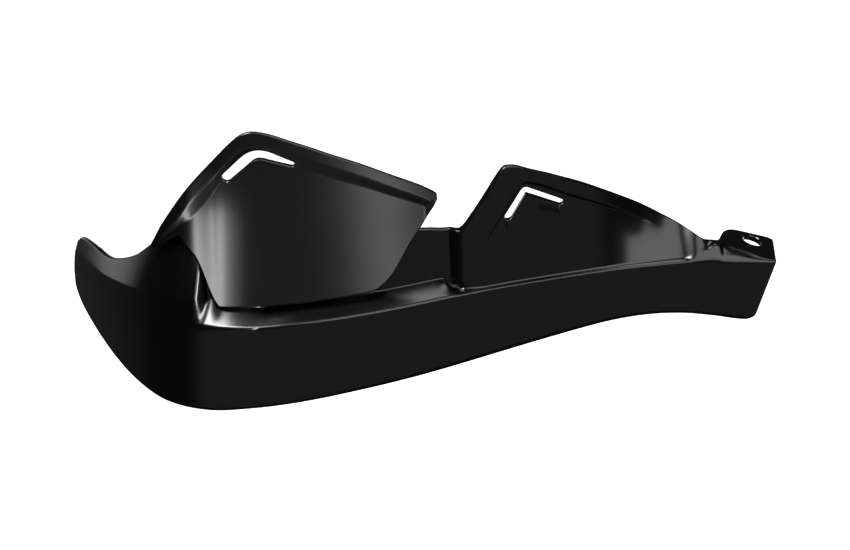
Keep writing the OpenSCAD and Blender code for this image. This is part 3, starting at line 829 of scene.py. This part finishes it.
class FixingSizes(bpy.types.PropertyGroup):
    """Sizes of the screws, washers and inserts."""

    screw: bpy.props.FloatProperty(
        name="Screw", description="Thread diameter of the screws", default=4.8 * MM, unit="LENGTH")
    screw_length: bpy.props.FloatProperty(
        name="Screw length", description="Length under the head", default=10 * MM, unit="LENGTH")
    screw_pitch: bpy.props.FloatProperty(
        name="Screw pitch", description="Pitch of the screws' thread", default=1.6 * MM, unit="LENGTH")
    head: bpy.props.FloatProperty(
        name="Head", description="Diameter of a screw's head", default=9 * MM, unit="LENGTH")
    head_height: bpy.props.FloatProperty(
        name="Head height", description="Height of a screw's head", default=3 * MM, unit="LENGTH")
    washer: bpy.props.FloatProperty(
        name="Washer", description="Diameter of a washer", default=13 * MM, unit="LENGTH")
    washer_height: bpy.props.FloatProperty(
        name="Washer height", description="Thickness of a washer", default=1 * MM, unit="LENGTH")
    washer_hole: bpy.props.FloatProperty(
        name="Washer hole", description="Hole of a washer", default=5.4 * MM, unit="LENGTH")
    insert: bpy.props.FloatProperty(
        name="Insert", description="Outer diameter of an insert", default=8.6 * MM, unit="LENGTH")
    insert_length: bpy.props.FloatProperty(
        name="Insert length", description="Length of an insert", default=10 * MM, unit="LENGTH")
    insert_bore: bpy.props.FloatProperty(
        name="Insert bore", description="Core diameter of an insert's thread", default=5 * MM,
        unit="LENGTH")
    insert_pitch: bpy.props.FloatProperty(
        name="Insert pitch", description="Pitch of an insert's thread", default=1 * MM, unit="LENGTH")


class Looks(bpy.types.PropertyGroup):
    """Colours as sRGB hex codes, and how rough the plastics are."""

    shell_dark: bpy.props.StringProperty(
        name="Shell dark", description="Darker tint of the shell", default="030303")
    shell_light: bpy.props.StringProperty(
        name="Shell light", description="Lighter tint of the shell", default="050606")
    shell_roughness: bpy.props.FloatProperty(
        name="Shell roughness", description="Roughness of the shell", default=0.2, min=0.03, max=1)
    deflector_dark: bpy.props.StringProperty(
        name="Deflector dark", description="Darker tint of the deflector", default="040404")
    deflector_light: bpy.props.StringProperty(
        name="Deflector light", description="Lighter tint of the deflector", default="070707")
    deflector_roughness: bpy.props.FloatProperty(
        name="Deflector roughness", description="Roughness of the deflector", default=0.24, min=0.03, max=1)
    zinc: bpy.props.StringProperty(name="Zinc", description="Colour of the plated steel", default="B4B8BE")
    brass: bpy.props.StringProperty(name="Brass", description="Colour of the inserts", default="D3B468")


class StageSettings(bpy.types.PropertyGroup):
    """Camera, lamps and backdrop."""

    camera: bpy.props.FloatVectorProperty(
        name="Camera", description="Place of the camera", default=(-0.1631, -0.8903, 0.4538),
        subtype="TRANSLATION", unit="LENGTH")
    look_down: bpy.props.FloatProperty(
        name="Look down", description="Angle of the view below level", default=math.radians(28),
        subtype="ANGLE", unit="ROTATION")
    lens: bpy.props.FloatProperty(
        name="Lens", description="Focal length", default=85, subtype="DISTANCE_CAMERA")
    floor: bpy.props.FloatProperty(
        name="Floor", description="Depth of the floor below the lug's bore", default=0.62, unit="LENGTH")
    world: bpy.props.FloatProperty(name="World", description="Brightness of the room", default=0.02, min=0)


# Where the lamps aim and how far away they stand, in metres
GUARD_MIDDLE = (-0.16, 0, 0.03)
WING_PANEL = (-0.267, -0.08, 0.027)
CORNER_WALL = (-0.268, -0.083, 0.018)
LAMP_DISTANCE = 1.3
WING_LAMP_DISTANCE = 0.05
CORNER_LAMP_DISTANCE = 0.03

# Gap left round and before what fits into something, how far cutters reach past a face, and the angles
# from which an edge stays sharp, on a turned piece and on a moulding
FIT_GAP = 0.3 * MM
PAST = 1 * MM
SHARP_EDGE = math.radians(35)
MOULDED_EDGE = math.radians(32)

# Pieces


def cylinder(name, matrix, radius, low, high, ease=0):
    """Cutter or boss on a turned piece's matrix; a boss has its free edge rounded by an ease."""
    rim = [(high, radius)]
    if ease:
        turns = np.linspace(0, math.pi / 2, 5)
        rim = [(high - ease * (1 - math.sin(t)), radius - ease * (1 - math.cos(t))) for t in turns]
    tool = turned(name, [(low, radius)] + rim)
    tool.matrix_world = matrix
    bpy.context.view_layer.update()
    return tool


class HANDGUARD_OT_shell(bpy.types.Operator):
    """Moulds the shell with its lug, bosses, bores and slot"""

    bl_idname = "handguard.shell"
    bl_label = "Shell"

    def execute(self, context):
        sizes = context.scene.handguard_shell
        fixings = context.scene.handguard_fixings
        deflector = context.scene.handguard_deflector
        wall = sizes.wall / MM
        rings = []
        for run, inset in end_sections(0, PLAN_RUN[-1], shell_spacing, END_ROUND):
            x = float(np.interp(run, PLAN_RUN, PLAN_X))
            rings.append(in_frame(shell_section(x, inset, wall)))
        shell = skinned("shell_moulding", rings)

        pad_ease = 0.4 * MM
        boss_ease = 0.5 * MM
        boss_length = fixings.insert_length + 2.2 * MM
        raised = []
        holes = []
        for i, x in enumerate(SCREW_X):
            seat = facing_in(f"deflector_washer_{i + 1}", x, fixings.washer_height / 2)
            raised.append(cylinder("pad", seat, sizes.pad / 2, -sizes.pad_length, 0, pad_ease))
            holes.append(cylinder(
                "post_hole", seat, deflector.post / 2 + FIT_GAP, -deflector.post_length - PAST, PAST))
        for node, x in INSERT_X.items():
            mouth = facing_in(node, x, -fixings.insert_length / 2)
            raised.append(cylinder("boss", mouth, sizes.boss / 2, -boss_length, 0, boss_ease))
            holes.append(cylinder("insert_hole", mouth, fixings.insert / 2, -fixings.insert_length, PAST))
        combined(shell, merged("bosses", raised), "UNION")

        holes.append(slot_tool(
            "fin_slot", lambda x: shell_path(x)[3:], wall, FIN_SLOT, FIN_SLOT_SHAPE, sizes.slot / MM,
            sizes.slot_ease / MM))
        radius = sizes.lug_bore / 2
        ease = 0.35 * MM
        down = -sizes.wall
        bore = turned("bore", (
            (down - 3 * MM, radius + 2 * MM), (down, radius + ease), (down + ease, radius + 0.1 * ease),
            (down + 2 * ease, radius), (-2 * ease, radius), (-ease, radius + 0.1 * ease),
            (0, radius + ease), (3 * MM, radius + 2 * MM),
        ), 96)
        bore.matrix_world = Matrix.Rotation(LUG_SLOPE, 4, "Y")
        bpy.context.view_layer.update()
        holes.append(bore)
        combined(shell, merged("holes", holes), "DIFFERENCE")
        smoothed(shell, MOULDED_EDGE)
        finished(shell, moulded_polypropylene(context.scene.handguard_looks), "shell_plastic", "shell")
        return {"FINISHED"}


class HANDGUARD_OT_deflector(bpy.types.Operator):
    """Moulds the wind deflector with its raised rim, slot and screw posts"""

    bl_idname = "handguard.deflector"
    bl_label = "Deflector"

    def execute(self, context):
        sizes = context.scene.handguard_deflector
        fixings = context.scene.handguard_fixings
        ease = context.scene.handguard_shell.slot_ease / MM
        plate = sizes.plate / MM
        rings = [
            in_frame(deflector_section(x, inset, plate))
            for x, inset in end_sections(
                -WING_REACH, DEFLECTOR_END, lambda x: DEFLECTOR_SPACING, DEFLECTOR_END_ROUND)
        ]
        deflector = skinned("wind_deflector", rings)
        post_ease = 0.3 * MM
        posts = []
        holes = []
        for i, x in enumerate(SCREW_X):
            seat = facing_in(f"deflector_washer_{i + 1}", x, fixings.washer_height / 2)
            start = fixings.washer_height - fixings.screw_length
            posts.append(cylinder("post", seat, sizes.post / 2, start, -FIT_GAP, post_ease))
            holes.append(cylinder("post_bore", seat, fixings.screw / 2, start, PAST))
        combined(deflector, merged("posts", posts), "UNION")
        holes.append(slot_tool(
            "deflector_slot", deflector_path, plate, DEFLECTOR_SLOT, DEFLECTOR_SLOT_SHAPE, sizes.slot / MM,
            ease))
        combined(deflector, merged("holes", holes), "DIFFERENCE")
        smoothed(deflector, MOULDED_EDGE)
        finished(
            deflector, satin_polypropylene(context.scene.handguard_looks), "deflector_plastic", "deflector")
        return {"FINISHED"}


# Spacing of the rings along a thread, the height over which a turned form steps, and how many points go
# round the fasteners and the inserts
THREAD_STEP = 0.1 * MM
SHARP_STEP = 0.01 * MM
FASTENER_AROUND = 72
INSERT_AROUND = 96


def tooth(height, angle, pitch):
    """Height of a V thread's flank, from 0 at the root to 1 at the crest."""
    phase = (height / pitch - angle / (2 * math.pi)) % 1
    return 1 - abs(2 * phase - 1)


class HANDGUARD_OT_screws(bpy.types.Operator):
    """Makes the pan head screws that hold the deflector"""

    bl_idname = "handguard.screws"
    bl_label = "Screws"

    def execute(self, context):
        sizes = context.scene.handguard_fixings
        zinc = zinc_plate(context.scene.handguard_looks)
        crest = sizes.screw / 2 - 0.02 * MM
        root = crest - 0.55 * MM
        pitch = sizes.screw_pitch
        head = sizes.head / 2
        head_ease = 0.15 * MM
        rim_height = 0.5 * MM
        top_z = sizes.head_height
        rise = top_z - rim_height
        socket = head / 2
        land = 0.9 * MM
        countersink = 0.18 * MM

        def thread(height):
            return lambda angle: blend(tooth(height, angle, pitch), root, crest)

        def hexagon(grow):
            flat = socket * math.cos(math.pi / 6) + grow
            return lambda angle: flat / math.cos((angle % (math.pi / 3)) - math.pi / 6)

        tip = -sizes.screw_length
        rings = [(tip, root * 0.8)]
        rings += [(z, thread(z)) for z in np.arange(tip + 0.4 * MM, -0.8 * MM, THREAD_STEP)]
        rings += [(-0.6 * MM, root), (-0.1 * MM, root), (0, root + 0.3 * MM), (0, head - head_ease)]
        turns = np.linspace(0, math.pi / 2, 9)
        rings += [(0.8 * head_ease, head)]
        rings += [
            (rim_height + rise * math.sin(t), head - (head - socket - land) * (1 - math.cos(t)))
            for t in turns
        ]
        rings += [(top_z, hexagon(countersink)), (top_z - head_ease, hexagon(0))]
        rings += [(top_z / 2, hexagon(0)), (top_z / 2 - SHARP_STEP, 0.4 * MM)]
        for i, x in enumerate(SCREW_X):
            node = f"deflector_screw_{i + 1}"
            screw = turned(f"pan_head_screw_{i + 1}", rings, FASTENER_AROUND)
            middle = (sizes.head_height - sizes.screw_length) / 2
            screw.matrix_world = facing_in(node, x, middle)
            smoothed(screw, SHARP_EDGE)
            finished(screw, zinc, "zinc_steel", node)
        return {"FINISHED"}


class HANDGUARD_OT_washers(bpy.types.Operator):
    """Makes the stamped washers under the screws"""

    bl_idname = "handguard.washers"
    bl_label = "Washers"

    def execute(self, context):
        sizes = context.scene.handguard_fixings
        zinc = bpy.data.materials["zinc_plated_steel"]
        outer = sizes.washer / 2
        hole = sizes.washer_hole / 2
        half = sizes.washer_height / 2
        ease = 0.18 * MM
        corners = ((outer, -half), (outer, half), (hole, half), (hole, -half))
        turns = np.linspace(0, math.pi / 2, 4)
        profile = []
        for i, (radius, height) in enumerate(corners):
            start = -math.pi / 2 + i * math.pi / 2
            centre_r = radius + (ease if radius == hole else -ease)
            centre_z = height - math.copysign(ease, height)
            profile += [
                (centre_r + ease * math.cos(start + t), centre_z + ease * math.sin(start + t))
                for t in turns
            ]
        angles = np.arange(FASTENER_AROUND) * 2 * math.pi / FASTENER_AROUND
        rings = [np.array([(r * math.cos(t), r * math.sin(t), z) for r, z in profile]) for t in angles]
        for i, x in enumerate(SCREW_X):
            node = f"deflector_washer_{i + 1}"
            washer = skinned(f"flat_washer_{i + 1}", rings, looped=True)
            washer.matrix_world = facing_in(node, x, 0)
            smoothed(washer, SHARP_EDGE)
            finished(washer, zinc, "zinc_steel", node)
        return {"FINISHED"}


class HANDGUARD_OT_inserts(bpy.types.Operator):
    """Makes the brass threaded inserts in the shell's bosses"""

    bl_idname = "handguard.inserts"
    bl_label = "Inserts"

    def execute(self, context):
        sizes = context.scene.handguard_fixings
        brass = turned_brass(context.scene.handguard_looks)
        outer = sizes.insert / 2
        bore = sizes.insert_bore / 2
        length = sizes.insert_length
        pitch = sizes.insert_pitch
        major = bore + 0.45 * MM
        ease = 0.4 * MM
        mouth = 0.3 * MM
        floor = 1 * MM
        collar = 1.2 * MM
        groove_from, groove_to = 0.42 * length, 0.55 * length
        teeth = 24
        knurl_depth = 0.25 * MM

        def knurl(angle):
            return outer - knurl_depth * (1 - abs(2 * (angle * teeth / (2 * math.pi) % 1) - 1))

        def thread(height):
            return lambda angle: blend(tooth(height, angle, pitch), major, bore)

        rings = [(0, outer - ease), (ease, outer), (ease + SHARP_STEP, knurl)]
        rings += [(groove_from, knurl), (groove_from + SHARP_STEP, outer - ease)]
        rings += [(groove_to, outer - ease), (groove_to + SHARP_STEP, knurl)]
        rings += [(length - collar, knurl), (length - collar + SHARP_STEP, outer), (length, outer)]
        rings += [(length, major + mouth), (length - mouth, major)]
        rings += [(z, thread(z)) for z in np.arange(length - ease, floor + mouth, -THREAD_STEP)]
        rings += [(floor + 0.2 * MM, bore), (floor, bore), (floor, 0.4 * MM)]
        for node, x in INSERT_X.items():
            insert = turned("brass_" + node, rings, INSERT_AROUND)
            insert.matrix_world = facing_in(node, x, length / 2)
            smoothed(insert, SHARP_EDGE)
            finished(insert, brass, "insert_brass", node)
        return {"FINISHED"}


def softbox(name, bearing, rise, width, height, power, lit=None, aim=GUARD_MIDDLE, distance=LAMP_DISTANCE):
    """Rectangular lamp that faces a point of the guard and may light one piece only.

    bearing is in degrees from straight in front."""
    turn, up = math.radians(bearing), math.radians(rise)
    away = Vector((math.sin(turn) * math.cos(up), -math.cos(turn) * math.cos(up), math.sin(up)))
    lamp = bpy.data.lights.new(name, "AREA")
    lamp.shape = "RECTANGLE"
    lamp.size = width
    lamp.size_y = height
    lamp.energy = power
    piece = bpy.data.objects.new(name, lamp)
    piece.location = Vector(aim) + distance * away
    piece.rotation_euler = (-away).to_track_quat("-Z", "Y").to_euler()
    piece.visible_camera = False
    if lit:
        only = bpy.data.collections.new(name)
        only.objects.link(bpy.data.objects[lit])
        piece.light_linking.receiver_collection = only
    bpy.context.scene.collection.objects.link(piece)
    return piece


def card(name, low, high, height, material):
    """Flat stage card between two corners of the plan."""
    mesh = bpy.data.meshes.new(name)
    corners = (low, (high[0], low[1]), high, (low[0], high[1]))
    mesh.from_pydata([(x, y, height) for x, y in corners], [], ((0, 1, 2, 3),))
    piece = new_piece(name, mesh)
    piece.data.materials.append(material)
    return piece


class HANDGUARD_OT_stage(bpy.types.Operator):
    """Sets the camera, the lamps, the white floor and the dark and bright cards that the plastic mirrors"""

    bl_idname = "handguard.stage"
    bl_label = "Stage"

    def execute(self, context):
        stage = context.scene.handguard_stage
        scene = context.scene
        camera = bpy.data.cameras.new("camera")
        camera.sensor_width = 36
        camera.lens = stage.lens
        camera.clip_end = 50
        eye = bpy.data.objects.new("camera", camera)
        eye.location = stage.camera
        eye.rotation_euler = (math.pi / 2 - stage.look_down, 0, 0)
        scene.collection.objects.link(eye)
        scene.camera = eye

        floor = -stage.floor
        card("white_floor", (-6, -6), (6, 6), floor, white_backdrop(1))
        felt = glowing_card("black_felt", 0.02)
        grey = glowing_card("grey_card", 0.22)
        # What the plastic mirrors, in plan in metres: name, two corners and material
        for name, low, high, material in (
            ("grey_card_front", (-0.8, -6), (6, -0.5), grey),
            ("grey_card_side", (-6, 0.15), (-0.8, 1.8), glowing_card("dark_grey_card", 0.04)),
            ("black_card_side", (-6, -6), (-0.8, 0.15), felt),
            ("black_card_middle", (-0.8, -0.5), (0.15, 1.8), felt),
            ("black_card_right", (1.4, -0.5), (6, 1.8), felt),
            ("black_card_near", (0.15, -0.5), (1.4, 0.3), felt),
            ("light_card", (0.15, 0.3), (0.4, 1.3), glowing_card("light_card", 2)),
            ("bright_card", (0.4, 0.3), (1.4, 1.3), glowing_card("bright_card", 4)),
        ):
            flag = card(name, low, high, floor + 0.01, material)
            flag.visible_camera = False
            flag.visible_diffuse = False
            flag.visible_shadow = False

        # Name, bearing and rise in degrees, width and height in metres, power in watts
        plate = "wind_deflector"
        softbox("front_right_strip", 35, -6, 0.18, 0.6, 1.3, plate)
        for name, bearing, width, power in (
            ("left_strip_strong", -4, 0.01, 0.022),
            ("left_strip_medium", 6, 0.008, 0.0035),
            ("left_strip_weak", 15, 0.01, 0.0017),
        ):
            softbox(name, bearing, -13, width, 0.055, power, plate, WING_PANEL, WING_LAMP_DISTANCE)
        softbox(
            "corner_strip", 75, -5, 0.012, 0.03, 0.02, "shell_moulding", CORNER_WALL, CORNER_LAMP_DISTANCE)
        softbox("corner_box", -50, 66, 0.55, 0.5, 30)
        softbox("right_box", 40, 35, 1.0, 1.2, 11)
        softbox("back_right_box", 143, 64, 0.5, 0.5, 3)

        world = bpy.data.worlds.new("studio")
        world.use_nodes = True
        world.node_tree.nodes.clear()
        tree = world.node_tree
        # The camera sees a white room, and the plastic a dark one
        sight = add(tree, "ShaderNodeLightPath", {})
        strength = add(
            tree, "ShaderNodeMapRange", {"To Min": stage.world, "To Max": 1.0},
            {"Value": sight.outputs["Is Camera Ray"]},
        )
        room = add(
            tree, "ShaderNodeBackground", {"Color": (1, 1, 1, 1)}, {"Strength": strength.outputs["Result"]}
        )
        add(tree, "ShaderNodeOutputWorld", {}, {"Surface": room.outputs["Background"]})
        scene.world = world
        scene.view_settings.view_transform = "Standard"
        return {"FINISHED"}


class HANDGUARD_PT_panel(bpy.types.Panel):
    """Lists what can be made"""

    bl_idname = "HANDGUARD_PT_panel"
    bl_label = "Hand guard"
    bl_space_type = "VIEW_3D"
    bl_region_type = "UI"
    bl_category = "Hand guard"

    def draw(self, context):
        for operator in OPERATORS:
            self.layout.operator(operator.bl_idname)


OPERATORS = (
    HANDGUARD_OT_shell, HANDGUARD_OT_deflector, HANDGUARD_OT_screws, HANDGUARD_OT_washers,
    HANDGUARD_OT_inserts, HANDGUARD_OT_stage,
)
GROUPS = {
    "handguard_shell": ShellSizes,
    "handguard_deflector": DeflectorSizes,
    "handguard_fixings": FixingSizes,
    "handguard_looks": Looks,
    "handguard_stage": StageSettings,
}


def register():
    for group in GROUPS.values():
        bpy.utils.register_class(group)
    for name, group in GROUPS.items():
        setattr(bpy.types.Scene, name, bpy.props.PointerProperty(type=group))
    for part in OPERATORS + (HANDGUARD_PT_panel,):
        bpy.utils.register_class(part)


def unregister():
    for part in OPERATORS + (HANDGUARD_PT_panel,):
        bpy.utils.unregister_class(part)
    for name, group in GROUPS.items():
        delattr(bpy.types.Scene, name)
        bpy.utils.unregister_class(group)


def main():
    """Makes every piece and the stage."""
    register()
    bpy.ops.handguard.shell()
    bpy.ops.handguard.deflector()
    bpy.ops.handguard.screws()
    bpy.ops.handguard.washers()
    bpy.ops.handguard.inserts()
    bpy.ops.handguard.stage()


if __name__ == "__main__":
    main()
